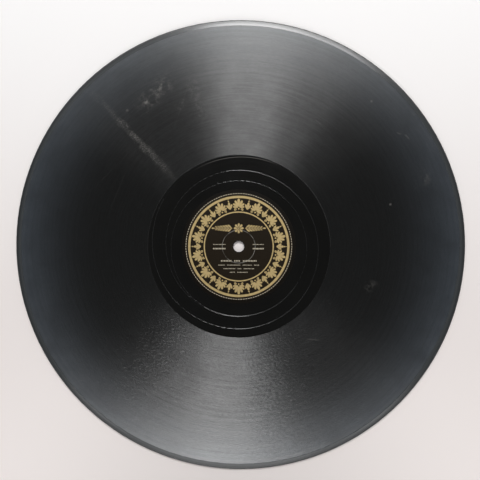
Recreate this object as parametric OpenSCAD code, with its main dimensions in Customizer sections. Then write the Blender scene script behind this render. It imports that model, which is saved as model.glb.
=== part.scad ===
// Shellac gramophone record: a disc pressed in one piece, with a paper label moulded into each face.
// Millimetres. The disc lies on its side B at z = 0, and the spindle hole's axis is Z.
// Seen from either face, the groove runs inwards anticlockwise, because the disc turns clockwise.

/* [Disc] */
// Diameter of the disc
disc_d = 300; // [290:0.5:310]
// Thickness of the disc from land to land
disc_t = 2.4; // [2:0.05:3]
// Diameter of the spindle hole
hole_d = 7.24; // [7.1:0.01:7.4]

/* [Rim] */
// Width of the smooth margin between the recorded band and the rim
margin_w = 3.6; // [2.5:0.1:6]
// Slope of the margin towards the rim, in degrees
margin_slope = 7; // [3:0.5:10]
// Radius of the two rounded corners of the rim
nose_r = 0.7; // [0.4:0.05:0.75]

/* [Recorded band] */
// Diameter at which the recorded band ends and the run-out land starts
run_out_d = 121.6; // [118:0.1:130]
// Depth of the recorded groove, by which the band lies below the lands
groove_depth = 0.064; // [0.04:0.002:0.1]

/* [Run-out groove] */
// Width of the run-out groove at the land
lead_w = 0.42; // [0.3:0.02:0.6]
// Depth of the run-out groove
lead_depth = 0.056; // [0.04:0.002:0.08]
// How far the run-out spiral moves inwards in one turn
lead_pitch = 8.4; // [7:0.1:10]
// Radius of the closed groove that the spiral runs into
closed_r = 45.3; // [44:0.1:47]
// How far the closed groove lies off centre, to swing the tone arm
closed_offset = 1.35; // [0.8:0.05:2]

/* [Labels] */
// Diameter of each paper label
label_d = 76.2; // [70:0.1:84]
// Thickness of the label paper
label_t = 0.12; // [0.08:0.01:0.2]
// How far the label's face lies below the land
label_sink = 0.02; // [0:0.01:0.05]
// Gap left between the label and its pocket, round its edge and under it
label_gap = 0.02; // [0.01:0.01:0.1]
// How much wider the label's own hole is all round than the spindle hole
label_hole_gap = 0.4; // [0.3:0.05:1]
// Diameter of the ring that the press leaves in the label
press_ring_d = 22; // [14:0.5:34]
// Width of the press ring
press_ring_w = 0.36; // [0.2:0.02:0.6]
// Depth of the press ring
press_ring_depth = 0.05; // [0.02:0.01:0.06]

/* [Hidden] */
$fn = 256;

shellac_black = [0.07, 0.07, 0.07];
label_black = [0.13, 0.12, 0.10];

// Radii that follow from the diameters
disc_r = disc_d / 2;
hole_r = hole_d / 2;
label_r = label_d / 2;
label_hole_r = hole_r + label_hole_gap;
pocket_r = label_r + label_gap;
pocket_depth = label_sink + label_t + label_gap;
band_inner_r = run_out_d / 2;
band_outer_r = disc_r - margin_w;

// Centre of the upper rim corner, set so that the corner runs smoothly into the margin and the rim
nose_x = disc_r - nose_r;
nose_drop = (nose_r + (nose_x - band_outer_r) * sin(margin_slope)) / cos(margin_slope);
// Where the margin's slope touches that corner, from the corner's centre
touch = nose_r * [sin(margin_slope), cos(margin_slope)];

// Radii at which the run-out spiral crosses the Y axis, one for each half turn, outermost first
spiral_end_r = closed_r + closed_offset;
spiral_r = [band_inner_r - lead_w / 2, spiral_end_r + lead_pitch, spiral_end_r + lead_pitch / 2, spiral_end_r];

// Extra height by which a cutter stands out of the face that it cuts
over = 0.05;

// Half section of the plain disc: X is the radius, Y the height
module disc_section() {
    polygon([
        [hole_r, 0],
        [band_outer_r, 0],
        [nose_x + touch[0], nose_drop - touch[1]],
        [disc_r, nose_drop],
        [disc_r, disc_t - nose_drop],
        [nose_x + touch[0], disc_t - nose_drop + touch[1]],
        [band_outer_r, disc_t],
        [hole_r, disc_t]
    ]);
    for (z = [nose_drop, disc_t - nose_drop])
        translate([nose_x, z])
            circle(r = nose_r);
}

// Section of a round-bottomed groove, cut at radius r into a face at height 0
module groove_section(r, width, depth) {
    round_r = (width * width / 4 + depth * depth) / (2 * depth);
    translate([r, round_r - depth])
        circle(r = round_r);
}

// Half turn of the run-out groove from one crossing of the Y axis to the next, centred between them
module half_turn(from_r, to_r, side) {
    translate([0, side * (from_r - to_r) / 2, 0])
        rotate([0, 0, side * 90])
            rotate_extrude(angle = 180)
                groove_section((from_r + to_r) / 2, lead_w, lead_depth);
}

// Run-out spiral and the closed groove at its end, cut into a face at height 0
module run_out_groove() {
    for (i = [0 : len(spiral_r) - 2])
        half_turn(spiral_r[i], spiral_r[i + 1], i % 2 == 0 ? 1 : -1);
    translate([0, -closed_offset, 0])
        rotate_extrude()
            groove_section(closed_r, lead_w, lead_depth);
}

// Flat ring-shaped recess, cut into a face at height 0
module ring_recess(inner_r, outer_r, depth) {
    translate([0, 0, -depth])
        difference() {
            cylinder(r = outer_r, h = depth + over);
            translate([0, 0, -over])
                cylinder(r = inner_r, h = depth + 3 * over);
        }
}

// Everything that the press leaves in one face of the disc, cut into a face at height 0
module face_cuts() {
    translate([0, 0, -pocket_depth])
        cylinder(r = pocket_r, h = pocket_depth + over);
    ring_recess(band_inner_r, band_outer_r, groove_depth);
    run_out_groove();
}

// Puts a shape that is made on a face at height 0 onto side A, the upper one
module on_side_a() {
    translate([0, 0, disc_t])
        children();
}

// Puts the same shape onto side B, by turning the disc over
module on_side_b() {
    rotate([180, 0, 0])
        children();
}

module disc() {
    color(shellac_black)
        difference() {
            rotate_extrude()
                disc_section();
            on_side_a()
                face_cuts();
            on_side_b()
                face_cuts();
        }
}

// Paper label in its pocket in a face at height 0
module label() {
    color(label_black)
        translate([0, 0, -label_sink - label_t])
            difference() {
                cylinder(r = label_r, h = label_t);
                translate([0, 0, -over])
                    cylinder(r = label_hole_r, h = label_t + 2 * over);
                translate([0, 0, label_t])
                    rotate_extrude()
                        groove_section(press_ring_d / 2, press_ring_w, press_ring_depth);
            }
}

module label_side_a() {
    on_side_a()
        label();
}

module label_side_b() {
    on_side_b()
        label();
}

disc();
label_side_a();
label_side_b();
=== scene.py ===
"""Looks of a twelve-inch shellac record, built around its CAD frame.

The CAD disc and paper labels keep their shapes and get their finishes here. The recorded groove, as one
spiral of turns on each face, the smooth part of the run-out groove and the print on the labels are pieces
of their own.
"""

import math

import bmesh
import bpy
from mathutils import Matrix, Vector


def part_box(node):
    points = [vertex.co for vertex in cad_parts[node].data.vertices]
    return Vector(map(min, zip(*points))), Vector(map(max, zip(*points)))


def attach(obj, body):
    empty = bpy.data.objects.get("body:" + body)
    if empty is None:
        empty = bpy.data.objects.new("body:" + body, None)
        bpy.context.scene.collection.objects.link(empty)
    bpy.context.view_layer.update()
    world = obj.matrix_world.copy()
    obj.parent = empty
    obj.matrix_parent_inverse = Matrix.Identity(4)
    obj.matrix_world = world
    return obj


bl_info = {
    "name": "Shellac Record",
    "version": (1, 0, 0),
    "blender": (4, 5, 0),
    "location": "3D View > Sidebar > Record",
    "description": "Grooves, label print, finishes and stage of a shellac record",
    "category": "Object",
}

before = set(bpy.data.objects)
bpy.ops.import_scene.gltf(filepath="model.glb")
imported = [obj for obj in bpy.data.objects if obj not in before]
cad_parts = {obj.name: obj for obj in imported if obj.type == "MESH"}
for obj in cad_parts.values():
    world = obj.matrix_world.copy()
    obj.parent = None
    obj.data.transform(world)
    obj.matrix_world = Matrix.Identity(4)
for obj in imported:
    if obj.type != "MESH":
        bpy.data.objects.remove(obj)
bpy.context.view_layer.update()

MM = 0.001
BODY = "root"

# Places that the frame gives
DISC_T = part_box("disc")[1].z
LABEL_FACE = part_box("label_side_a")[1].z - DISC_T

# Sizes that the part's source has inside the disc
BAND_OUTER_R = 146.4 * MM
BAND_INNER_R = 60.8 * MM
BAND_DEPTH = 0.064 * MM

# Room left under the recorded turns
SEAT_GAP = 0.001 * MM
# How far the strips of the run-out groove lie below the land, and how thick they are
STRIP_SINK = 0.0005 * MM
STRIP_THICKNESS = 0.03 * MM
# Points of a shape that are nearer to each other than this become one
MERGE_DISTANCE = 1e-6

SHELLAC_IOR = 1.8
# Darkest and lightest shade of the shellac, as shares of its colour
SHELLAC_SHADES = (0.8, 1.3)
# Roughness and gloss of grime
GRIME_ROUGHNESS = 0.6
GRIME_GLOSS = 0.1
# Heights between which side B gives way to side A, in millimetres
SIDE_CHANGE = (0.9, 1.5)
# Radii between which the land gives way to the margin, and the margin to the rim, in millimetres
MARGIN_START = (145.0, 146.5)
RIM_START = (146.8, 149.3)
# Radius of the press ring in the label and how far from it the wear ends, in millimetres, and the
# colour of the paper worn there
PRESS_RING_R = 11.0
PRESS_RING_EDGE = (0.1, 0.24)
WORN_PAPER = (0.2, 0.19, 0.17)
# Radii between which the label's print gives way to its darker edge, in millimetres
LABEL_EDGE = (35.5, 36.4)

# Colour of the surroundings at the horizon
HORIZON = (0.6, 0.61, 0.62)
# Distance of the lights from the disc's centre
LIGHT_DISTANCE = 1.4

# The photograph's frame, in pixels, and the camera's sensor, in millimetres
IMAGE_SIZE = 480
SENSOR_WIDTH = 36.0


def number_setting(name, description, default, **how):
    return bpy.props.FloatProperty(name=name, description=description, default=default, **how)


def length_setting(name, description, millimetres):
    return number_setting(name, description, millimetres * MM, unit="LENGTH", precision=6)


def angle_setting(name, description, degrees):
    return number_setting(name, description, math.radians(degrees), subtype="ANGLE")


def share_setting(name, description, default):
    return number_setting(name, description, default, subtype="FACTOR", min=0, max=1)


def count_setting(name, description, default, least):
    return bpy.props.IntProperty(name=name, description=description, default=default, min=least)


def colour_setting(name, description, default):
    colour = bpy.props.FloatVectorProperty
    return colour(name=name, description=description, default=default, subtype="COLOR")


class RecordGroove(bpy.types.PropertyGroup):
    """Sizes of the recorded groove"""

    pitch: length_setting("Pitch", "Distance from one turn to the next", 0.2646)
    width: length_setting("Width", "Width of the groove at the land", 0.13)
    depth: length_setting("Depth", "Depth of the groove below the land", 0.06)
    shoulder: angle_setting(
        "Shoulder Slope", "Slope of the rounded shoulder between the groove's wall and the land", 27
    )
    lean: angle_setting(
        "Shoulder Lean",
        "How much the slope differs between the shoulders that face inwards and outwards",
        8,
    )
    points: count_setting("Points per Turn", "Straight steps in one turn of the groove", 96, 24)


class RecordRunOut(bpy.types.PropertyGroup):
    """Path and section of the run-out groove"""

    start_radius: length_setting(
        "Start Radius", "Radius at which the run-out groove leaves the recorded band", 60.59
    )
    pitch: length_setting("Pitch", "How far the run-out spiral moves inwards in one turn", 8.4)
    closed_radius: length_setting(
        "Closed Radius", "Radius of the closed groove that the spiral runs into", 45.3
    )
    closed_offset: length_setting("Closed Offset", "How far the closed groove lies off centre", 1.35)
    width: length_setting("Width", "Width of the smooth part of the groove", 0.33)
    depth: length_setting("Depth", "Depth of the smooth part of the groove", 0.012)
    wall_slope: angle_setting("Wall Slope", "Slope of the round groove's wall at the land", 29)


class RecordLabel(bpy.types.PropertyGroup):
    """Layout and colours of the label print"""

    ring_radius: length_setting("Ring Radius", "Middle of the broad gold ring", 33.05)
    ring_width: length_setting("Ring Width", "Width of the broad gold ring", 1.55)
    panel_radius: length_setting(
        "Panel Radius", "Middle of the narrow gold ring around the plain panel", 23.0
    )
    panel_ring_width: length_setting("Panel Ring Width", "Width of the narrow gold ring", 0.8)
    palmettes: count_setting("Palmettes", "Number of palmettes in the ornament band", 14, 4)
    edge_radius: length_setting(
        "Edge Radius", "Middle of the ring of pale dashes near the label's edge", 35.3
    )
    edge_marks: count_setting("Edge Marks", "Number of pale dashes near the label's edge", 132, 12)
    ink_thickness: length_setting("Ink Thickness", "How far the ink stands on the paper", 0.008)
    gold: colour_setting("Gold Ink", "Colour of the ornament", (0.45, 0.335, 0.15))
    pale: colour_setting("Pale Ink", "Colour of the dashes and writing lines", (0.5, 0.44, 0.33))
    paper: colour_setting("Paper", "Colour of the label paper", (0.0115, 0.0076, 0.0036))


class RecordFinish(bpy.types.PropertyGroup):
    """Finish of the shellac"""

    shellac: colour_setting("Shellac", "Colour of the shellac compound", (0.0022, 0.0022, 0.0019))
    haze: colour_setting(
        "Haze", "Colour that fine wear and dust give the outer turns", (0.0108, 0.0178, 0.0268)
    )
    # The margin has this colour as wear. The rim uses only half of it, and that darker rim is painted shade
    rubbed: colour_setting(
        "Rubbed",
        "Colour that handling gives the smooth margin and, half as strong, the rim",
        (0.0433, 0.0467, 0.0486),
    )
    # Also the colour of the painted highlight line at the start of the run-out groove
    scuff_and_highlight: colour_setting("Scuff", "Colour of scratches, smudges and dust", (0.165, 0.157, 0.146))
    land_roughness: share_setting("Land Roughness", "Roughness of the run-out land and the margin", 0.13)
    groove_roughness: share_setting("Groove Roughness", "Roughness of the recorded band", 0.33)
    groove_anisotropy: share_setting(
        "Groove Anisotropy", "How much the groove walls spread the light across the turns", 1.0
    )


class RecordStage(bpy.types.PropertyGroup):
    """Camera, lights and floor"""

    camera_height: length_setting("Camera Height", "Height of the camera above the disc", 500)
    key_radiance: number_setting("Key Radiance", "Radiance of the window-like light", 15.6)
    fill_radiance: number_setting("Fill Radiance", "Radiance of the weaker light opposite the window", 1.9)
    # Painted light and shade on the floor: the lit colour towards the window and the shaded colour away
    # from it
    floor_painted_light: colour_setting("Floor Far", "Colour of the floor on the window's side", (0.975, 0.958, 0.95))
    floor_painted_shade: colour_setting("Floor Near", "Colour of the floor on the other side", (0.85, 0.785, 0.76))


def settings_of(group):
    """A group's settings, by the names that they share with the inputs of the shapes."""
    return {group.bl_rna.properties[key].name: getattr(group, key) for key in type(group).__annotations__}


class Socket:
    """An output of a node, for use in expressions: each operator adds a Math node."""

    def __init__(self, build, socket):
        self.build = build
        self.socket = socket

    def math(self, operation, *others):
        return self.build.math(operation, self, *others)

    def __add__(self, other):
        return self.math("ADD", other)

    def __sub__(self, other):
        return self.math("SUBTRACT", other)

    def __mul__(self, other):
        return self.math("MULTIPLY", other)

    def __truediv__(self, other):
        return self.math("DIVIDE", other)

    def __mod__(self, other):
        return self.math("MODULO", other)

    def __pow__(self, other):
        return self.math("POWER", other)

    def __rsub__(self, other):
        return self.build.math("SUBTRACT", other, self)

    def __rtruediv__(self, other):
        return self.build.math("DIVIDE", other, self)

    __radd__ = __add__
    __rmul__ = __mul__

    def output(self, name):
        """Another output of the same node."""
        return Socket(self.build, self.socket.node.outputs[name])

    def equals(self, number):
        return self.math("COMPARE", number, 0.5)

    def absolute(self):
        return self.math("ABSOLUTE")

    def between(self, low, high):
        """0 at low, 1 at high, with a smooth step from one to the other."""
        return self.build.node(
            "ShaderNodeMapRange",
            {"interpolation_type": "SMOOTHSTEP"},
            {"Value": self, "From Min": low, "From Max": high},
        )


class Build:
    """A node tree that is being built, for a material, the world or a shape."""

    def __init__(self, tree):
        self.tree = tree

    def node(self, kind, settings=None, inputs=None, output=0):
        """Adds a node, makes its settings, then fills its sockets, and gives one of its outputs."""
        made = self.tree.nodes.new(kind)
        for key, value in (settings or {}).items():
            if key == "stops":
                self.set_stops(made.color_ramp, value)
            else:
                setattr(made, key, value)
        self.fill(made, inputs or {})
        return Socket(self, made.outputs[output]) if made.outputs else made

    def fill(self, node, inputs):
        """Gives some of a node's sockets their values or links."""
        for key, value in inputs.items():
            self.feed(node.inputs[key], value)

    def feed(self, socket, value):
        """Gives a socket a value, a link, or several links where it joins them."""
        if isinstance(value, list):
            for one in value:
                self.feed(socket, one)
        elif isinstance(value, Socket):
            self.tree.links.new(value.socket, socket)
        else:
            socket.default_value = value

    @staticmethod
    def set_stops(ramp, stops):
        while len(ramp.elements) < len(stops):
            ramp.elements.new(1.0)
        for element, (place, colour) in zip(ramp.elements, stops):
            element.position = place
            element.color = (*colour, 1.0)

    def math(self, operation, *values):
        return self.node("ShaderNodeMath", {"operation": operation}, dict(enumerate(values)))

    def vector(self, x=0.0, y=0.0, z=0.0):
        return self.node("ShaderNodeCombineXYZ", inputs={0: x, 1: y, 2: z})

    def noise(self, vector, scale, detail=2.0, roughness=0.5):
        return self.node(
            "ShaderNodeTexNoise",
            inputs={"Vector": vector, "Scale": scale, "Detail": detail, "Roughness": roughness},
        )

    def mix(self, factor, first, second):
        """Mix of two colours, each a colour or a socket."""
        ends = [end if isinstance(end, Socket) else (*end, 1.0) for end in (first, second)]
        return self.node("ShaderNodeMix", {"data_type": "RGBA"}, {0: factor, 6: ends[0], 7: ends[1]}, 2)

    def shades(self, factor, colour, first, second):
        """Mix of two shades of a colour, each the colour times a number."""
        return self.mix(factor, scaled(colour, first), scaled(colour, second))

    def cover(self, factor, second):
        """Mixes another shader over a material's Principled one."""
        nodes = self.tree.nodes
        first = Socket(self, nodes["Principled BSDF"].outputs[0])
        surface = self.node("ShaderNodeMixShader", inputs={0: factor, 1: first, 2: second})
        self.fill(nodes["Material Output"], {"Surface": surface})


def scaled(colour, factor):
    return [channel * factor for channel in colour]


def distance(x, y):
    """Length of the way across and up to a point, as a socket."""
    return (x * x + y * y).math("SQRT")


class Place:
    """Where a shading point lies about the disc's centre: itself in metres, the rest in millimetres."""

    def __init__(self, build):
        self.build = build
        self.point = build.node("ShaderNodeTexCoord", output="Object")
        split = build.node("ShaderNodeSeparateXYZ", inputs={0: self.point})
        self.x = split / MM
        self.y = split.output("Y") / MM
        self.z = split.output("Z") / MM
        self.radius = distance(self.x, self.y)
        # 1 on side A and 0 on side B, and Y as it runs on that side
        self.upper = self.z.between(*SIDE_CHANGE)
        self.face_y = self.y * (self.upper * 2 - 1)

    def turned(self, degrees):
        """Distances along and across a direction that starts at the centre."""
        cosine, sine = math.cos(math.radians(degrees)), math.sin(math.radians(degrees))
        return self.x * cosine + self.y * sine, self.y * cosine - self.x * sine

    def along_turns(self, around, outwards):
        """Seamless vector for drawn-out noise: cells in a radian, and in a millimetre outwards."""
        share = around / self.radius
        return self.build.vector(self.x * share, self.y * share, self.radius * outwards)

    def spot(self, x, y, size):
        """1 at a point of the face, fading to 0 at that distance."""
        return 1 - distance(self.x - x, self.y - y).between(0.0, size)

    def circle(self, x, y, radius, solid, end):
        """1 on a circle on either face, out to a distance from its line, fading to 0 at the next one."""
        away = distance(self.x - x, self.face_y - y) - radius
        return 1 - away.absolute().between(solid, end)

    def scratch(self, start, end, width):
        """1 on a straight scratch, fading to its sides and ends."""
        way = Vector(end) - Vector(start)
        length = way.length
        way.normalize()
        x, y = self.x - start[0], self.y - start[1]
        along = x * way.x + y * way.y
        across = y * way.x - x * way.y
        ends = along.between(0.0, length / 3) - along.between(length * 2 / 3, length)
        return ends * (1 - across.absolute().between(width / 4, width))


def new_material(name, constants):
    """A material, its Principled shader with what is the same all over set, and its builder."""
    material = bpy.data.materials.new(name)
    material.use_nodes = True
    shader = material.node_tree.nodes["Principled BSDF"]
    for key, value in constants.items():
        shader.inputs[key].default_value = value
    return material, shader, Build(material.node_tree)


def dull(build, factor, colour):
    """Takes some of a material's gloss away, as grime and fine wear do."""
    grime = build.node(
        "ShaderNodeBsdfPrincipled",
        inputs={"Base Color": colour, "Roughness": GRIME_ROUGHNESS, "Specular IOR Level": GRIME_GLOSS},
    )
    build.cover(factor, grime)


# Wear on side A, in millimetres from the centre: specks as x, y, size and strength
SPECKS = (
    (-74.3, 90.7, 1.4, 0.5),
    (-61.5, 98.3, 1.6, 0.2),
    (-52.2, 105.4, 1.4, 0.28),
    (87.7, 96.0, 1.3, 0.7),
    (100.4, 28.0, 1.2, 0.6),
)
# Smudges as their two ends, width and strength
SMUDGES = (
    ((-70.0, 88.0), (-42.0, 116.0), 9.0, 0.6),
    ((-64.5, 94.5), (-56.5, 103.5), 3.4, 0.5),
    ((-57.0, 101.0), (-46.0, 110.0), 3.4, 0.55),
    ((-43.5, 90.0), (-34.0, 98.0), 4.0, 0.55),
    ((-34.0, 118.0), (-22.0, 78.0), 6.0, 0.3),
    ((84.0, -30.0), (92.0, -22.0), 4.0, 0.35),
    ((113.0, 92.0), (121.0, 84.0), 3.6, 0.35),
    ((120.0, 52.0), (126.0, 40.0), 4.0, 0.35),
)
# Scratches as their two ends, width and strength
SCRATCHES = (
    ((104.0, 75.5), (108.0, 74.0), 0.7, 0.3),
    ((109.2, 74.6), (113.0, 70.8), 0.7, 0.3),
    ((49.8, 84.5), (55.8, 80.0), 0.6, 0.2),
    ((44.0, -61.8), (56.0, -62.4), 0.6, 0.22),
    ((-98.0, 38.0), (-70.0, 66.0), 0.4, 0.06),
    ((-88.0, 20.0), (-72.0, 58.0), 0.4, 0.05),
    ((-30.0, 118.0), (-46.0, 70.0), 0.4, 0.06),
    ((64.0, 104.0), (92.0, 62.0), 0.4, 0.05),
    ((58.0, -118.0), (92.0, -88.0), 0.4, 0.05),
)
# Direction in which the dotted streak runs out from the centre, in degrees
STREAK_ANGLE = 133.5


def streak(build, place):
    """How much a point is scuffed by the broken, dotted streak that runs in from the rim."""
    along, across = place.turned(STREAK_ANGLE)
    wander = (build.noise(place.point, 110.0, 3.0) - 0.5) * 5.0
    dots = build.noise(place.point, 1300.0, 2.0, 0.7).between(0.46, 0.66)
    dense = build.noise(place.point, 260.0, 3.0, 0.6).between(0.28, 0.58)
    # Distances from the centre over which it grows, thins out and ends, in millimetres
    grows, thins, ends = (50.0, 90.0), (108.0, 126.0), (134.0, 147.0)
    reach = along.between(*grows) * (1 - along.between(*thins) * 0.65) * (1 - along.between(*ends))
    core = 1 - (across + wander).absolute().between(0.2, 3.4)
    return reach * core * dense * (dots * 1.15 + 0.1)


def scuffs(build, place):
    """How much a point is scuffed: the streak, smudges, scratches and specks, and dust all over."""
    wispy = build.noise(place.point, 300.0, 5.0, 0.72).between(0.45, 0.72)
    marks = streak(build, place)
    for start, end, width, strength in SMUDGES:
        marks = marks + place.scratch(start, end, width) * wispy * strength
    for start, end, width, strength in SCRATCHES:
        marks = marks + place.scratch(start, end, width) * strength
    for x, y, size, strength in SPECKS:
        marks = marks + place.spot(x, y, size) * strength
    cells = build.node("ShaderNodeTexVoronoi", inputs={"Vector": place.point, "Scale": 170.0})
    bright = build.node("ShaderNodeSeparateXYZ", inputs={0: cells.output("Color")}).between(0.8, 1.0)
    dust = (1 - cells.between(0.03, 0.07)) * bright * 0.35
    return marks * place.upper + dust


def run_out_arcs(start, pitch, closed_radius, closed_offset):
    """The run-out spiral's half turns, outermost first: radius, centre on Y, and 1 or -1 in turn."""
    end = closed_radius + closed_offset
    crossings = (start, end + pitch, end + pitch / 2, end)
    arcs = []
    for i in range(3):
        side = 1 if i % 2 == 0 else -1
        outer, inner = crossings[i], crossings[i + 1]
        arcs.append(((outer + inner) / 2, (outer - inner) * (side / 2), side))
    return arcs


def under_run_out(place, run_out):
    """1 under the strips of the run-out groove on either face, and 0 beside them."""
    # Distances from the strip's middle over which the cover ends, in millimetres
    edge = (0.24, 0.3)
    covered = place.circle(0.0, -run_out.closed_offset / MM, run_out.closed_radius / MM, *edge)
    path = (run_out.start_radius, run_out.pitch, run_out.closed_radius, run_out.closed_offset)
    for radius, centre, side in run_out_arcs(*path):
        half = (place.x * -side).between(-1.0, -0.5)
        covered = covered.math("MAXIMUM", place.circle(0.0, centre / MM, radius / MM, *edge) * half)
    return covered


def painted_run_out_highlight(place):
    """1 on a painted highlight along the groove from the recorded band into the run-out groove, fading
    along it.
    """
    # The painted highlight's circle and the stretches over which it grows and ends, in millimetres
    centre_x, radius = 1.4, 59.52
    grows, fades = (-34.0, -6.0), (14.0, 30.0)
    ends = place.x.between(*grows) * (1 - place.x.between(*fades))
    return place.circle(centre_x, 0.0, radius, 0.12, 0.34) * ends * place.face_y.between(0.0, 10.0)


def polished_shellac(name, finish, run_out=None):
    """Black pressed shellac of the land, the margin and the rim, dull under the run-out groove's strips."""
    material, shader, build = new_material(name, {"IOR": SHELLAC_IOR})
    place = Place(build)
    cloud = build.noise(place.point, 40.0, 4.0)
    fine = build.noise(place.along_turns(3.0, 2.0), 1.0, 2.0)
    black = build.shades(cloud, finish.shellac, *SHELLAC_SHADES)
    margin = place.radius.between(*MARGIN_START)
    rim_wear_and_shade = place.radius.between(*RIM_START)
    # The rim gets only half of the rubbed colour: painted shade that makes the rim darker
    rubbed = build.shades(rim_wear_and_shade, finish.rubbed, 1.0, 0.51)
    colour = build.mix(margin, black, rubbed)
    if run_out:
        # Painted highlight: the run-out groove's first stretch on the window's side, drawn as a pale line
        # on the land
        colour = build.mix(painted_run_out_highlight(place) * 0.4, colour, finish.scuff_and_highlight)
    # Depths below the land over which the shellac counts as cut, in millimetres
    cut_depth = (0.001, 0.01)
    middle = DISC_T / MM / 2
    cut = (middle - (place.z - middle).absolute()).between(*cut_depth) * (1 - margin)
    rough = finish.land_roughness + (cloud - 0.5) * 0.06 + (fine - 0.5) * 0.05
    rough = rough + margin * 0.05 + rim_wear_and_shade * 0.1 + cut * 0.14
    build.fill(shader, {"Base Color": colour, "Roughness": rough})
    grimy = margin * 0.4 + rim_wear_and_shade * 0.1
    if run_out:
        grimy = grimy + under_run_out(place, run_out)
    dull(build, grimy, colour)
    return material


def grooved_shellac(finish):
    """The same shellac on the recorded band, where the turns draw the light out along the radius."""
    material, shader, build = new_material(
        "grooved shellac",
        {
            "IOR": SHELLAC_IOR,
            "Anisotropic": finish.groove_anisotropy,
            "Anisotropic Rotation": 0.25,
            "Coat Roughness": 0.34,
            "Coat IOR": 1.7,
        },
    )
    place = Place(build)
    passages = build.noise(build.vector(place.radius), 0.5, 4.0, 0.7) - 0.5
    arcs = build.noise(place.along_turns(7.0, 0.9), 1.0, 3.0, 0.65) - 0.5
    grain = build.noise(place.along_turns(48.0, 1.8), 1.0, 1.0) - 0.5
    cloud = build.noise(place.point, 75.0, 4.0, 0.6) - 0.5
    # The haze starts at one radius and is full further out, in millimetres
    haze_start, haze_width = 92.0, 55.0
    haze = ((place.radius - haze_start) / haze_width).math("MAXIMUM", 0.0) ** 2.2
    patchy = haze * (1 + cloud * 1.2 + arcs * 0.5)
    black = build.shades(cloud + 0.5, finish.shellac, *SHELLAC_SHADES)
    hazy = build.mix(patchy, black, finish.haze)
    # The grain fades towards the window over this stretch of Y, in millimetres
    grain_fades = (-50.0, 40.0)
    gritty = 1 - place.y.between(*grain_fades)
    least_roughness = 0.27
    rough = finish.groove_roughness + haze * 0.09 + passages * (gritty * 0.05 + 0.05) + arcs * 0.04
    height = grain * (gritty * 0.12 + 0.025) * MM
    relief = build.node("ShaderNodeBump", inputs={"Height": height, "Distance": 1.0})
    build.fill(
        shader,
        {
            "Base Color": build.mix(scuffs(build, place), hazy, finish.scuff_and_highlight),
            "Roughness": rough.math("MAXIMUM", least_roughness),
            "Coat Weight": patchy * 1.1,
            "Normal": relief,
        },
    )
    # Radii over which the grime thins out, in millimetres
    grime_thins = (60.0, 145.0)
    grimy = 0.32 - gritty * 0.04 - place.radius.between(*grime_thins) * 0.26
    grimy = grimy + passages * (gritty * 0.3 + 0.45) + arcs * 0.4
    grimy = grimy + grain * (gritty * 0.1 + 0.2) + cloud * 0.4
    dull(build, grimy, (*scaled(finish.shellac, 1.4), 1.0))
    return material


def label_paper(label):
    """Warm black coated paper."""
    material, shader, build = new_material("label paper", {"IOR": 1.45, "Specular IOR Level": 0.16})
    place = Place(build)
    fibre = build.noise(place.point, 900.0, 3.0)
    plain = build.shades(fibre, label.paper, 0.8, 1.25)
    paper = build.mix(place.radius.between(*LABEL_EDGE), plain, scaled(label.paper, 0.3))
    rubbed = 1 - (place.radius - PRESS_RING_R).absolute().between(*PRESS_RING_EDGE)
    patchy = build.noise(place.point, 260.0, 2.0).between(0.3, 0.6)
    colour = build.mix(rubbed * patchy, paper, WORN_PAPER)
    build.fill(shader, {"Base Color": colour, "Roughness": 0.3 + fibre * 0.1})
    return material


def ink(name, colour, metallic):
    """Bronze or pale printing ink with a little mottle."""
    material, shader, build = new_material(name, {"Metallic": metallic})
    place = Place(build)
    mottle = build.noise(place.point, 700.0, 3.0)
    shade = build.shades(mottle, colour, 0.75, 1.2)
    build.fill(shader, {"Base Color": shade, "Roughness": 0.4 + mottle * 0.25})
    return material


def geometry_tree(name, numbers, counts=()):
    """A new Geometry Nodes tree with these inputs and a material, as its builder and its sockets."""
    inputs = {**dict.fromkeys(numbers, "Float"), **dict.fromkeys(counts, "Int"), "Material": "Material"}
    tree = bpy.data.node_groups.new(name, "GeometryNodeTree")
    for label, kind in inputs.items():
        tree.interface.new_socket(label, in_out="INPUT", socket_type="NodeSocket" + kind)
    tree.interface.new_socket("Geometry", in_out="OUTPUT", socket_type="NodeSocketGeometry")
    build = Build(tree)
    source = tree.nodes.new("NodeGroupInput")
    return build, {label: Socket(build, source.outputs[label]) for label in inputs}


def end_tree(build, geometry, material):
    """Ends a tree in plain geometry with its material."""
    plain = build.node("GeometryNodeRealizeInstances", inputs={"Geometry": geometry})
    done = build.node("GeometryNodeSetMaterial", inputs={"Geometry": plain, "Material": material})
    build.node("NodeGroupOutput", inputs={"Geometry": done})


def add_object(name, data):
    made = bpy.data.objects.new(name, data)
    bpy.context.scene.collection.objects.link(made)
    return made


def shaped_mesh(name, build, values):
    """The plain mesh that a Geometry Nodes tree makes from these input values."""
    source = add_object(name, bpy.data.meshes.new(name))
    modifier = source.modifiers.new("Shape", "NODES")
    modifier.node_group = build.tree
    for item in build.tree.interface.items_tree:
        if item.in_out == "INPUT":
            modifier[item.identifier] = values[item.name]
    graph = bpy.context.evaluated_depsgraph_get()
    mesh = bpy.data.meshes.new_from_object(source.evaluated_get(graph))
    bpy.data.objects.remove(source)
    mesh.name = name
    if not mesh.polygons:
        raise RuntimeError(f"{name} came out with no faces")
    return mesh


def add_piece(name, mesh, side):
    """Puts a mesh that is made on a face at height 0 onto that side of the disc, as a piece."""
    mesh.transform(Matrix.Translation((0, 0, DISC_T)) if side == "a" else Matrix.Diagonal((1, -1, -1, 1)))
    piece = add_object(f"{name}_side_{side}", mesh)
    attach(piece, BODY)
    return piece


def together(build, shapes):
    return build.node("GeometryNodeJoinGeometry", inputs={0: shapes})


def merged(build, shape):
    return build.node(
        "GeometryNodeMergeByDistance",
        inputs={"Geometry": shape, "Distance": MERGE_DISTANCE},
    )


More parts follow.
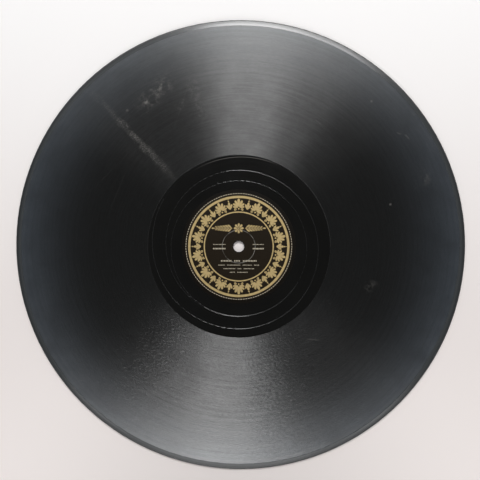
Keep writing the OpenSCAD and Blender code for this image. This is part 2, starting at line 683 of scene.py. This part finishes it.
def placed(build, shape, place):
    return build.node("GeometryNodeSetPosition", inputs={"Geometry": shape, "Position": place})


def sheet_of(build, steps, points):
    """Sheet of so many steps along and points across, and each point's place along and across it."""
    sheet = build.node(
        "GeometryNodeMeshGrid",
        inputs={"Vertices X": steps + 1, "Vertices Y": points},
    )
    index = build.node("GeometryNodeInputIndex")
    return sheet, (index / points).math("FLOOR"), index % points


def swept(build, sheet, turn, radius, height, lean, centre=0.0):
    """Smooth sheet along an arc about a point on the Y axis, shaded as if its points leant outwards."""
    cosine, sine = turn.math("COSINE"), turn.math("SINE")
    laid = placed(build, sheet, build.vector(radius * cosine, radius * sine + centre, height))
    smooth = build.node("GeometryNodeSetShadeSmooth", inputs={"Geometry": laid})
    upward = build.vector(lean * cosine, lean * sine, 1.0)
    facing = build.node("ShaderNodeVectorMath", {"operation": "NORMALIZE"}, {0: upward})
    return build.node(
        "GeometryNodeSetMeshNormal",
        {"mode": "FREE", "domain": "POINT"},
        {"Mesh": smooth, "Custom Normal": facing},
    )


def thickened(build, sheet, thickness):
    """Closed shape between a sheet and its copy at that height above it."""
    copy = build.node(
        "GeometryNodeExtrudeMesh",
        inputs={
            "Mesh": sheet,
            "Offset": build.vector(0.0, 0.0, 1.0),
            "Offset Scale": thickness,
            "Individual": False,
        },
    )
    return merged(build, together(build, [sheet, copy]))


def groove_tree():
    """A ribbon of turns: each turn has a land and a groove with two walls, and joins the next one."""
    build, size = geometry_tree(
        "Recorded groove",
        ("Outer Radius", "Pitch", "Width", "Depth", "Shoulder Slope", "Shoulder Lean"),
        ("Turns", "Points per Turn"),
    )
    across_points = 4
    sheet, along, across = sheet_of(build, size["Turns"] * size["Points per Turn"], across_points)
    half = size["Width"] / 2
    # The groove's floor lies nearer to its inner shoulder, by this share of the half width
    floor_shift = 0.6
    outward = across.equals(0) * (size["Pitch"] - half)
    outward = outward + (across.equals(1) - across.equals(3) - across.equals(2) * floor_shift) * half
    start = size["Outer Radius"] - size["Pitch"] + half
    radius = start - size["Pitch"] * along / size["Points per Turn"] + outward
    turn = (along % size["Points per Turn"]) / size["Points per Turn"] * math.tau
    height = across.equals(2) * size["Depth"] * -1
    outer = (size["Shoulder Slope"] - size["Shoulder Lean"]).math("TANGENT")
    inner = (size["Shoulder Slope"] + size["Shoulder Lean"]).math("TANGENT")
    lean = (across.equals(0) + across.equals(3)) * outer - across.equals(1) * inner
    spiral = swept(build, sheet, turn, radius, height, lean)
    end_tree(build, merged(build, spiral), size["Material"])
    return build


def groove_strip(build, size, radius, centre, start, sweep, sink, outer_flat=0.12 * MM):
    """Strip along an arc about a point on the Y axis: a round groove with a narrow flat on each side."""
    step = math.radians(3)
    inner_flat = 0.12 * MM
    lip = 0.01 * MM
    # The disc's own groove has straight steps, which lie this much nearer to the centre
    inset = 0.02 * MM
    across_points = 7
    sheet, along, place = sheet_of(build, round(sweep / step), across_points)
    across = place - (across_points - 1) / 2
    away = across.absolute()
    half = size["Width"] / 2
    outward = away.equals(1) * (half - lip) + away.equals(2) * half + away.equals(3) * half
    flats = across.equals(3) * outer_flat - across.equals(-3) * inner_flat
    reach = radius - inset + across.math("SIGN") * outward + flats
    height = away.equals(0) * size["Depth"] * -1 - sink
    lean = across * away.equals(1) * size["Wall Slope"].math("TANGENT") * -1
    return swept(build, sheet, along * step + start, reach, height, lean, centre)


def run_out_tree():
    """The run-out groove: half turns that lead inwards, and the closed groove at their end."""
    path_inputs = ("Start Radius", "Pitch", "Closed Radius", "Closed Offset")
    build, size = geometry_tree("Run-out groove", (*path_inputs, "Width", "Depth", "Wall Slope"))
    path = [size[name] for name in path_inputs]
    # The first half turn starts clear of the recorded band. The last one stops short, and the closed
    # groove's wider flat covers the place where they join.
    spans = ((60, 180), (0, 180), (0, 141))
    join_flat = 0.75 * MM
    closed = (size["Closed Radius"], size["Closed Offset"] * -1, 0.0, math.tau)
    strips = [groove_strip(build, size, *closed, STRIP_SINK, join_flat)]
    for (radius, centre, side), (first, last) in zip(run_out_arcs(*path), spans):
        start = side * math.pi / 2 + math.radians(first)
        half_turn = (radius, centre, start, math.radians(last - first))
        strips.append(groove_strip(build, size, *half_turn, STRIP_SINK * 2))
    sheet = merged(build, together(build, strips))
    end_tree(build, thickened(build, sheet, -STRIP_THICKNESS), size["Material"])
    return build


def close_below(mesh, height):
    """Closes an open ring-shaped sheet with walls down to a height and a flat underside."""
    shape = bmesh.new()
    shape.from_mesh(mesh)
    made = bmesh.ops.extrude_edge_only(shape, edges=[e for e in shape.edges if e.is_boundary])["geom"]
    lower = [v for v in made if isinstance(v, bmesh.types.BMVert)]
    for vertex in lower:
        vertex.co.z = height
    below = set(lower)
    loops = [e for e in made if isinstance(e, bmesh.types.BMEdge) and below.issuperset(e.verts)]
    bmesh.ops.bridge_loops(shape, edges=loops)
    bmesh.ops.recalc_face_normals(shape, faces=shape.faces)
    shape.to_mesh(mesh)
    shape.free()


def dot(build, radius, points=10):
    size = {"Vertices": points, "Radius": radius}
    return build.node("GeometryNodeMeshCircle", {"fill_type": "NGON"}, size)


def leaf(build, length, width, points=12):
    """Flat leaf with its foot at the origin and its tip up Y."""
    # Share that brings the leaf's widest place to its width
    fullness = 0.71
    outline = dot(build, 1.0, points)
    turn = build.node("GeometryNodeInputIndex") * (math.tau / points)
    rise = (1 - turn.math("COSINE")) / 2
    half = turn.math("SINE") * (rise * 0.75 + 0.25) * (width * fullness)
    return placed(build, outline, build.vector(half, rise * length))


def dash(build, length, width):
    return build.node(
        "GeometryNodeMeshGrid",
        inputs={"Size X": length, "Size Y": width, "Vertices X": 2, "Vertices Y": 2},
    )


def ribbon(build, curve, width):
    """Flat band of that width along a flat curve."""
    level = build.node("GeometryNodeSetCurveNormal", {"mode": "Z_UP"}, {"Curve": curve})
    across = build.node(
        "GeometryNodeCurvePrimitiveLine",
        inputs={"Start": build.vector(width / -2), "End": build.vector(width / 2)},
    )
    return build.node("GeometryNodeCurveToMesh", inputs={"Curve": level, "Profile Curve": across})


def flat_ring(build, radius, width, steps=144):
    size = {"Resolution": steps, "Radius": radius}
    return ribbon(build, build.node("GeometryNodeCurvePrimitiveCircle", inputs=size), width)


def scroll(build, inner, outer, turns, width):
    """Flat spiral that starts at its middle."""
    curve = build.node(
        "GeometryNodeCurveSpiral",
        inputs={
            "Resolution": 14,
            "Rotations": turns,
            "Start Radius": inner,
            "End Radius": outer,
            "Height": 0.0,
        },
    )
    return ribbon(build, curve, width)


def moved(build, shape, x=0.0, y=0.0, z=0.0, turn=0.0, flip=1.0):
    return build.node(
        "GeometryNodeTransform",
        inputs={
            "Geometry": shape,
            "Translation": build.vector(x, y, z),
            "Rotation": (0.0, 0.0, math.radians(turn)),
            "Scale": (flip, 1.0, 1.0),
        },
    )


def copies(build, shape, count, turn, size=1.0, start=(0.0, 0.0), step=0.0):
    """Copies of a shape in a row along X, each turned and scaled as its place in the row says."""
    points = build.node(
        "GeometryNodeMeshLine",
        inputs={"Count": count, "Start Location": (*start, 0.0), "Offset": (step, 0.0, 0.0)},
    )
    return build.node(
        "GeometryNodeInstanceOnPoints",
        inputs={
            "Points": points,
            "Instance": shape,
            "Rotation": build.vector(0.0, 0.0, turn),
            "Scale": build.vector(size, size, 1.0),
        },
    )


def ring_of(build, shape, count, first=0.0):
    """Copies of a shape, turned evenly about the middle, from a part of a step on."""
    turn = (build.node("GeometryNodeInputIndex") + first) * math.tau / count
    return copies(build, shape, count, turn)


def fan_of(build, shape, count, step, shrink):
    """Copies of a shape spread like a fan about Y, each pair smaller than the one inside it."""
    place = build.node("GeometryNodeInputIndex") - (count - 1) / 2
    return copies(build, shape, count, place * math.radians(step), 1 - place.absolute() * shrink)


def row_of(build, shape, count, start, step, turn=0.0, shrink=0.0):
    """Copies of a shape in a straight row along X, turned alike, each smaller by a share than the last."""
    size = 1 - build.node("GeometryNodeInputIndex") * shrink
    return copies(build, shape, count, math.radians(turn), size, start, step)


def end_print(build, shapes, size):
    """Lays flat shapes on the label and gives them the ink's thickness and colour."""
    flat = build.node("GeometryNodeRealizeInstances", inputs={"Geometry": together(build, shapes)})
    closed = thickened(build, moved(build, flat, z=size["Face Height"]), size["Ink Thickness"])
    flat_faces = {"Geometry": closed, "Shade Smooth": False}
    end_tree(build, build.node("GeometryNodeSetShadeSmooth", inputs=flat_faces), size["Material"])


def palmette(build):
    """Fan of leaves over a bead between two scrolls, standing on the narrow ring at the top."""
    foot = 25.9 * MM
    blade = moved(build, leaf(build, 5.55 * MM, 1.8 * MM), y=0.6 * MM)
    leaves = fan_of(build, blade, count=7, step=27, shrink=0.12)
    curl = scroll(build, 0.15 * MM, 0.9 * MM, 1.4, 0.4 * MM)
    return together(
        build,
        [
            moved(build, leaves, y=foot),
            moved(build, dot(build, 0.55 * MM), y=foot - 0.75 * MM),
            moved(build, curl, x=2.1 * MM, y=24.8 * MM, turn=60),
            moved(build, curl, x=-2.1 * MM, y=24.8 * MM, turn=-60, flip=-1.0),
        ],
    )


def bud(build):
    """Three narrow leaves with two beads at the tip, between two palmettes."""
    blade = moved(build, leaf(build, 4.9 * MM, 1.6 * MM), y=0.3 * MM)
    leaves = fan_of(build, blade, count=3, step=27, shrink=0.22)
    return together(
        build,
        [
            moved(build, leaves, y=24.9 * MM),
            moved(build, dot(build, 0.5 * MM), y=30.7 * MM),
            moved(build, dot(build, 0.3 * MM), y=31.8 * MM),
        ],
    )


def spray(build):
    """Rosette with a branch of paired leaves to each side."""
    height = 12.2 * MM
    petal = moved(build, leaf(build, 2.7 * MM, 1.45 * MM), y=0.65 * MM)
    blade = moved(build, leaf(build, 3.5 * MM, 1.15 * MM), y=0.14 * MM)
    parts = [
        moved(build, ring_of(build, petal, 8), y=height),
        moved(build, dot(build, 0.5 * MM), y=height),
    ]
    for side in (1, -1):
        start = (side * 4.5 * MM, height)
        for lean in (52, 128):
            parts.append(row_of(build, blade, 6, start, side * 1.9 * MM, -side * lean, 0.08))
        tip = leaf(build, 2.6 * MM, 1.05 * MM)
        tip = moved(build, tip, x=side * 15.5 * MM, y=height, turn=-side * 90)
        stem = moved(build, dash(build, 11.2 * MM, 0.3 * MM), x=side * 9.8 * MM, y=height)
        parts += [tip, stem]
    return together(build, parts)


def gold_tree():
    """Gold ornament: two rings, a border of palmettes and buds, and a leaf spray above the hole."""
    build, size = geometry_tree(
        "Gold print",
        ("Ring Radius", "Ring Width", "Panel Radius", "Panel Ring Width", "Face Height", "Ink Thickness"),
        ("Palmettes",),
    )
    shapes = [
        flat_ring(build, size["Ring Radius"], size["Ring Width"]),
        flat_ring(build, size["Panel Radius"], size["Panel Ring Width"]),
        ring_of(build, palmette(build), size["Palmettes"]),
        ring_of(build, bud(build), size["Palmettes"], 0.5),
        spray(build),
    ]
    end_print(build, shapes, size)
    return build


def writing(build, mark, y, words, step):
    """Row of like marks in groups, with a gap of one and a half marks between them, about the middle."""
    gap = step * 1.5
    x = (step - sum(words) * step - (len(words) - 1) * gap) / 2
    rows = []
    for count in words:
        rows.append(row_of(build, mark, count, (x, y), step))
        x += count * step + gap
    return together(build, rows)


def pale_tree():
    """Pale print: dashes round the edge and dotted writing lines below and beside the hole."""
    build, size = geometry_tree(
        "Pale print",
        ("Edge Radius", "Face Height", "Ink Thickness"),
        ("Edge Marks",),
    )
    edge_mark = moved(build, dash(build, 1.05 * MM, 0.4 * MM), y=size["Edge Radius"])
    tall = dash(build, 0.62 * MM, 0.9 * MM)
    small = dash(build, 0.56 * MM, 0.46 * MM)
    # Lines below the hole, as mark, height, marks in each group, and step
    lines = (
        (tall, -9.6, (7, 4, 9), 1.05),
        (small, -12.4, (5, 10, 7, 4), 0.9),
        (small, -14.8, (9, 3, 8), 0.9),
        (small, -17.2, (4, 8), 0.9),
    )
    shapes = [ring_of(build, edge_mark, size["Edge Marks"])]
    for mark, y, words, step in lines:
        shapes.append(writing(build, mark, y * MM, words, step * MM))
    # Short lines to the left and right of the hole
    for x, count in ((-13.0, 9), (13.0, 8)):
        for y, mark in ((1.4, small), (-1.4, tall)):
            row = writing(build, mark, y * MM, (count,), 0.95 * MM)
            shapes.append(moved(build, row, x=x * MM))
    end_print(build, shapes, size)
    return build


def face_outwards(mesh):
    """Turns the faces of closed shapes outwards."""
    shape = bmesh.new()
    shape.from_mesh(mesh)
    bmesh.ops.recalc_face_normals(shape, faces=shape.faces)
    shape.to_mesh(mesh)
    shape.free()


def face_down(mesh, height):
    """Shades the points below that height, which are undersides, as facing down."""
    facing = mesh.attributes["custom_normal"].data
    for vertex in mesh.vertices:
        if vertex.co.z < height:
            facing[vertex.index].vector = (0, 0, -1)


class RECORD_OT_finish_disc(bpy.types.Operator):
    """Gives the CAD disc its polished shellac"""

    bl_idname = "record.finish_disc"
    bl_label = "Finish Disc"

    def execute(self, context):
        scene = context.scene
        material = polished_shellac("polished shellac", scene.record_finish, scene.record_run_out)
        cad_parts["disc"].data.materials[0] = material
        return {"FINISHED"}


class RECORD_OT_cut_grooves(bpy.types.Operator):
    """Lays the spiral of recorded turns into the band on each face"""

    bl_idname = "record.cut_grooves"
    bl_label = "Cut Grooves"

    def execute(self, context):
        groove = context.scene.record_groove
        values = {
            **settings_of(groove),
            "Outer Radius": BAND_OUTER_R,
            "Turns": int((BAND_OUTER_R - BAND_INNER_R) / groove.pitch) - 1,
            "Material": grooved_shellac(context.scene.record_finish),
        }
        build = groove_tree()
        underside = SEAT_GAP - BAND_DEPTH
        for side in "ab":
            mesh = shaped_mesh("recorded groove", build, values)
            close_below(mesh, underside)
            face_down(mesh, underside + SEAT_GAP / 2)
            add_piece("recorded_groove", mesh, side)
        return {"FINISHED"}


class RECORD_OT_lead_out(bpy.types.Operator):
    """Lays the run-out spiral and the closed groove into the land on each face"""

    bl_idname = "record.lead_out"
    bl_label = "Lead Out"

    def execute(self, context):
        run_out = context.scene.record_run_out
        material = polished_shellac("run-out shellac", context.scene.record_finish)
        values = {**settings_of(run_out), "Material": material}
        build = run_out_tree()
        for side in "ab":
            mesh = shaped_mesh("run-out groove", build, values)
            face_outwards(mesh)
            face_down(mesh, run_out.depth * -2)
            add_piece("run_out_groove", mesh, side)
        return {"FINISHED"}


class RECORD_OT_finish_labels(bpy.types.Operator):
    """Gives the CAD labels their paper"""

    bl_idname = "record.finish_labels"
    bl_label = "Finish Labels"

    def execute(self, context):
        paper = label_paper(context.scene.record_label)
        for side in "ab":
            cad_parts[f"label_side_{side}"].data.materials[0] = paper
        return {"FINISHED"}


class RECORD_OT_print_labels(bpy.types.Operator):
    """Prints the gold ornament and the pale lines on both labels"""

    bl_idname = "record.print_labels"
    bl_label = "Print Labels"

    def execute(self, context):
        label = context.scene.record_label
        values = {**settings_of(label), "Face Height": LABEL_FACE}
        prints = (
            ("gold_print", gold_tree(), ink("gold ink", label.gold, 0.5)),
            ("pale_print", pale_tree(), ink("pale ink", label.pale, 0.2)),
        )
        for name, build, material in prints:
            for side in "ab":
                mesh = shaped_mesh(name, build, {**values, "Material": material})
                face_outwards(mesh)
                add_piece(name, mesh, side)
        return {"FINISHED"}


class RECORD_OT_set_stage(bpy.types.Operator):
    """Sets the floor, the lights, the surroundings and the camera"""

    bl_idname = "record.set_stage"
    bl_label = "Set Stage"

    def execute(self, context):
        stage = context.scene.record_stage
        context.scene.view_settings.view_transform = "Standard"
        add_floor(stage)
        add_lights(stage)
        add_surroundings(context.scene)
        add_camera(context.scene, stage)
        return {"FINISHED"}


def add_floor(stage):
    """Pale floor just below the disc, with painted light and shade: darker away from the window, a little
    lighter at the front, and a painted shadow in front of the disc.
    """
    mesh = bpy.data.meshes.new("floor")
    half = 3.0
    below = -0.1 * MM
    corners = [(x * half, y * half, below) for x, y in ((-1, -1), (1, -1), (1, 1), (-1, 1))]
    mesh.from_pydata(corners, [], [(0, 1, 2, 3)])
    material, shader, build = new_material("floor", {"Roughness": 0.9})
    place = Place(build)
    painted_shade_floor = stage.floor_painted_shade
    # Stretches of Y over which the floor's painted light and shade change, and the place and reach of its
    # painted shadow, in millimetres
    painted_front_stretch, painted_window_stretch = (-170.0, -20.0), (-80.0, 220.0)
    painted_shadow_y, painted_shadow_reach = -185.0, 170.0
    # Painted light: the front of the floor a little lighter
    painted_front_light = build.shades(place.y.between(*painted_front_stretch), painted_shade_floor, 1.1, 0.98)
    plain = build.mix(place.y.between(*painted_window_stretch), painted_front_light, stage.floor_painted_light)
    # Painted shadow on the floor in front of the disc
    painted_shadow = place.spot(0.0, painted_shadow_y, painted_shadow_reach)
    build.fill(shader, {"Base Color": build.mix(painted_shadow, plain, scaled(painted_shade_floor, 0.87))})
    # Far from the disc, over these radii, the floor becomes one with the surroundings at the horizon
    floor_end = (235.0, 520.0)
    seen = build.node("ShaderNodeLightPath", output="Is Camera Ray")
    away = (seen + seen.output("Is Glossy Ray")) * place.radius.between(*floor_end)
    build.cover(away, build.node("ShaderNodeEmission", inputs={"Color": (*HORIZON, 1.0)}))
    mesh.materials.append(material)
    floor = add_object("floor", mesh)


def add_area(name, azimuth, zenith, size, radiance):
    """A soft rectangular light of that radiance that faces the disc from these angles, in degrees."""
    data = bpy.data.lights.new(name, "AREA")
    data.shape = "RECTANGLE"
    data.size, data.size_y = size
    data.energy = radiance * math.pi * size[0] * size[1]
    turn, tilt = math.radians(azimuth), math.radians(zenith)
    flat = LIGHT_DISTANCE * math.sin(tilt)
    lamp = add_object(name, data)
    lamp.location = (flat * math.cos(turn), flat * math.sin(turn), LIGHT_DISTANCE * math.cos(tilt))
    lamp.rotation_euler = (-lamp.location).to_track_quat("-Z", "Y").to_euler()


def add_lights(stage):
    """Lights by their azimuth from +X and zenith, width and height in metres, and radiance."""
    add_area("window", 89.2, 31.0, (0.35, 0.66), stage.key_radiance)
    add_area("window side", 66.0, 31.0, (0.26, 0.34), stage.key_radiance * 0.6)
    add_area("room", 130.0, 45.0, (0.6, 0.66), stage.key_radiance * 0.025)
    add_area("fill", 267.0, 46.0, (0.6, 0.9), stage.fill_radiance)
    add_area("low fill", 269.0, 31.0, (1.6, 0.16), stage.fill_radiance * 1.25)


def add_surroundings(scene):
    """Dark overhead, where the camera is, and pale and cool towards the horizon."""
    world = bpy.data.worlds.new("surroundings")
    world.use_nodes = True
    build = Build(world.node_tree)
    way = build.node("ShaderNodeTexCoord", output="Generated")
    up = build.node("ShaderNodeSeparateXYZ", inputs={0: way}, output="Z")
    zenith = up.math("ARCCOSINE") / math.pi
    # Colours at shares of the way from overhead to underfoot
    stops = (
        (0.0, (0.035, 0.035, 0.035)),
        (0.06, (0.05, 0.05, 0.05)),
        (0.15, (0.068, 0.071, 0.075)),
        (0.27, (0.115, 0.122, 0.13)),
        (0.5, HORIZON),
    )
    sky = build.node("ShaderNodeValToRGB", {"stops": stops}, {0: zenith})
    build.fill(world.node_tree.nodes["Background"], {"Color": sky})
    scene.world = world


def add_camera(scene, stage):
    """Camera almost straight above, as the photograph was taken."""
    # Where the disc's centre and rim lie in the photograph, in pixels
    centre_px = (238.72, 246.54)
    rim_px = 225.2
    disc_r = 150 * MM
    px = disc_r / rim_px
    # How far the camera leans off the disc's axis, to +X and to +Y
    lean = (math.radians(1.73), math.radians(2.17))
    data = bpy.data.cameras.new("camera")
    data.sensor_width = SENSOR_WIDTH
    data.lens = rim_px * stage.camera_height / disc_r * SENSOR_WIDTH / IMAGE_SIZE
    camera = add_object("camera", data)
    sides = [stage.camera_height * math.tan(angle) for angle in lean]
    camera.location = (*sides, DISC_T + stage.camera_height)
    aim = Vector(((IMAGE_SIZE / 2 - centre_px[0]) * px, (centre_px[1] - IMAGE_SIZE / 2) * px, DISC_T))
    back = (camera.location - aim).normalized()
    right = Vector((0, 1, 0)).cross(back).normalized()
    above = back.cross(right)
    camera.rotation_euler = Matrix((right, above, back)).transposed().to_euler()
    scene.camera = camera


class RECORD_PT_sidebar(bpy.types.Panel):
    """Lists the steps and their settings"""

    bl_idname = "RECORD_PT_sidebar"
    bl_label = "Shellac Record"
    bl_space_type = "VIEW_3D"
    bl_region_type = "UI"
    bl_category = "Record"

    def draw(self, context):
        for step in STEPS:
            self.layout.operator(step.bl_idname)
        for name, group in GROUPS.items():
            box = self.layout.box()
            box.label(text=group.__doc__)
            for prop in group.__annotations__:
                box.prop(getattr(context.scene, name), prop)


GROUPS = {
    "record_groove": RecordGroove,
    "record_run_out": RecordRunOut,
    "record_label": RecordLabel,
    "record_finish": RecordFinish,
    "record_stage": RecordStage,
}
STEPS = (
    RECORD_OT_set_stage,
    RECORD_OT_finish_disc,
    RECORD_OT_cut_grooves,
    RECORD_OT_lead_out,
    RECORD_OT_finish_labels,
    RECORD_OT_print_labels,
)
CLASSES = (*GROUPS.values(), *STEPS, RECORD_PT_sidebar)


def register():
    for item in CLASSES:
        bpy.utils.register_class(item)
    for name, group in GROUPS.items():
        setattr(bpy.types.Scene, name, bpy.props.PointerProperty(type=group))


def unregister():
    for name in GROUPS:
        delattr(bpy.types.Scene, name)
    for item in reversed(CLASSES):
        bpy.utils.unregister_class(item)


def main():
    register()
    bpy.ops.record.set_stage()
    bpy.ops.record.finish_disc()
    bpy.ops.record.cut_grooves()
    bpy.ops.record.lead_out()
    bpy.ops.record.finish_labels()
    bpy.ops.record.print_labels()


if __name__ == "__main__":
    main()
